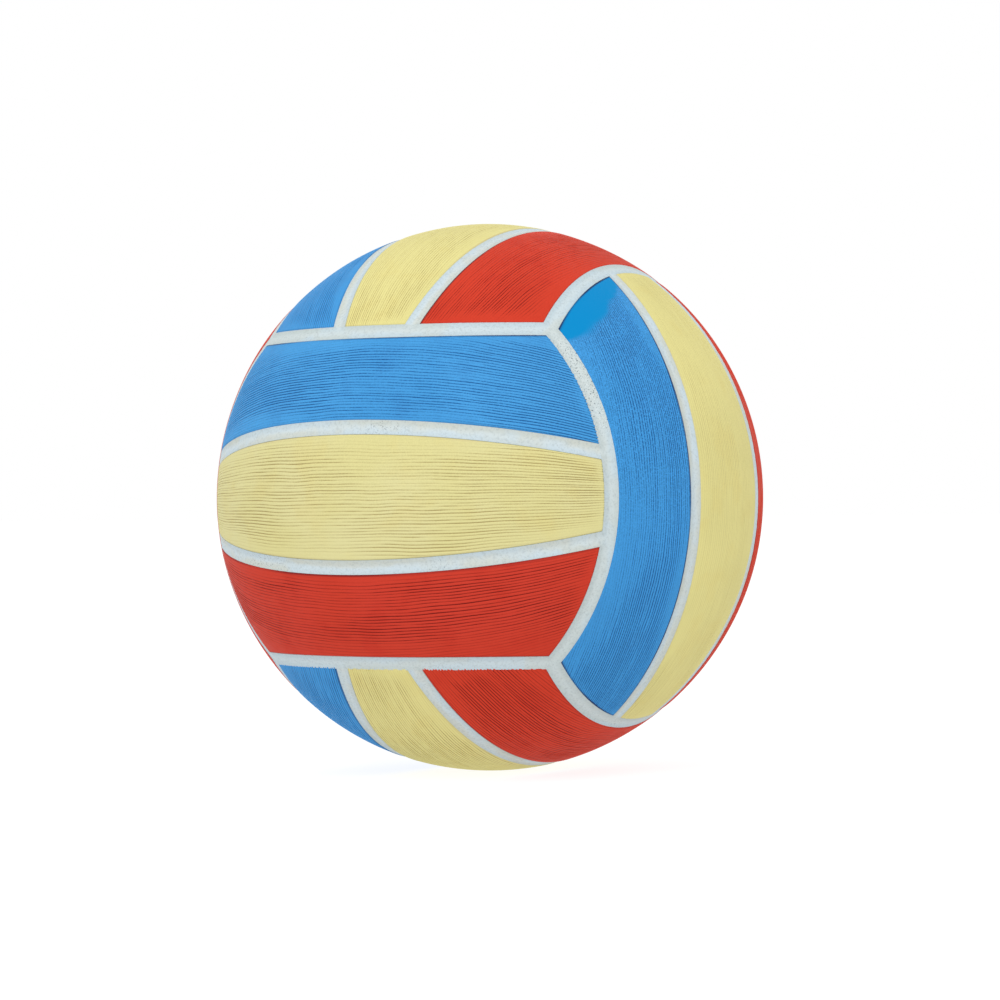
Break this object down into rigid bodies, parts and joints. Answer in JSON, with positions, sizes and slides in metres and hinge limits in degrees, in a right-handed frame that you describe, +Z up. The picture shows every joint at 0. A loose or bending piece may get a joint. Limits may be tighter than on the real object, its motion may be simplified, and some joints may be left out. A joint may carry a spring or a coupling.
{
  "type": "water polo ball",
  "caption": "Inflated rubber water polo ball with ribbed strip panels in blue, yellow and red, white seam strips and a needle valve.",
  "frame": {"origin": "centre of the ball", "axes": "+Z up, -Y through the middle of the front face, +X through the middle of the right face, +Y out of the valve in the back face"},
  "size_m": [0.1878, 0.1876, 0.1878],
  "materials": {
    "blue_cover": "matte, ribbed",
    "yellow_cover": "matte, ribbed",
    "red_cover": "matte, ribbed",
    "white_seam": "matte, fine grained",
    "carcass_rubber": "matte",
    "bladder_rubber": "satin",
    "nylon_thread": "waxed thread",
    "valve_rubber": "satin"
  },
  "bodies": {
    "root": {"bladder": "bladder_rubber", "thread_winding": "nylon_thread", "white_carcass": "carcass_rubber", "valve_housing": "valve_rubber", "valve_core": "valve_rubber", "front_upper_panel": "blue_cover", "front_middle_panel": "yellow_cover", "front_lower_panel": "red_cover", "back_upper_panel": "blue_cover", "back_middle_panel": "yellow_cover", "back_lower_panel": "red_cover", "top_left_panel": "blue_cover", "top_middle_panel": "yellow_cover", "top_right_panel": "red_cover", "bottom_left_panel": "blue_cover", "bottom_middle_panel": "yellow_cover", "bottom_right_panel": "red_cover", "right_front_panel": "blue_cover", "right_middle_panel": "yellow_cover", "right_rear_panel": "red_cover", "left_front_panel": "red_cover", "left_middle_panel": "yellow_cover", "left_rear_panel": "blue_cover", "front_upper_seam_strip": "white_seam", "front_lower_seam_strip": "white_seam", "front_top_edge_strip": "white_seam", "front_bottom_edge_strip": "white_seam", "back_upper_seam_strip": "white_seam", "back_lower_seam_strip": "white_seam", "back_top_edge_strip": "white_seam", "back_bottom_edge_strip": "white_seam", "top_right_seam_strip": "white_seam", "top_left_seam_strip": "white_seam", "top_right_edge_strip": "white_seam", "top_left_edge_strip": "white_seam", "bottom_right_seam_strip": "white_seam", "bottom_left_seam_strip": "white_seam", "bottom_right_edge_strip": "white_seam", "bottom_left_edge_strip": "white_seam", "right_rear_seam_strip": "white_seam", "right_front_seam_strip": "white_seam", "right_rear_edge_strip": "white_seam", "right_front_edge_strip": "white_seam", "left_rear_seam_strip": "white_seam", "left_front_seam_strip": "white_seam", "left_rear_edge_strip": "white_seam", "left_front_edge_strip": "white_seam"}
  },
  "joints": []
}
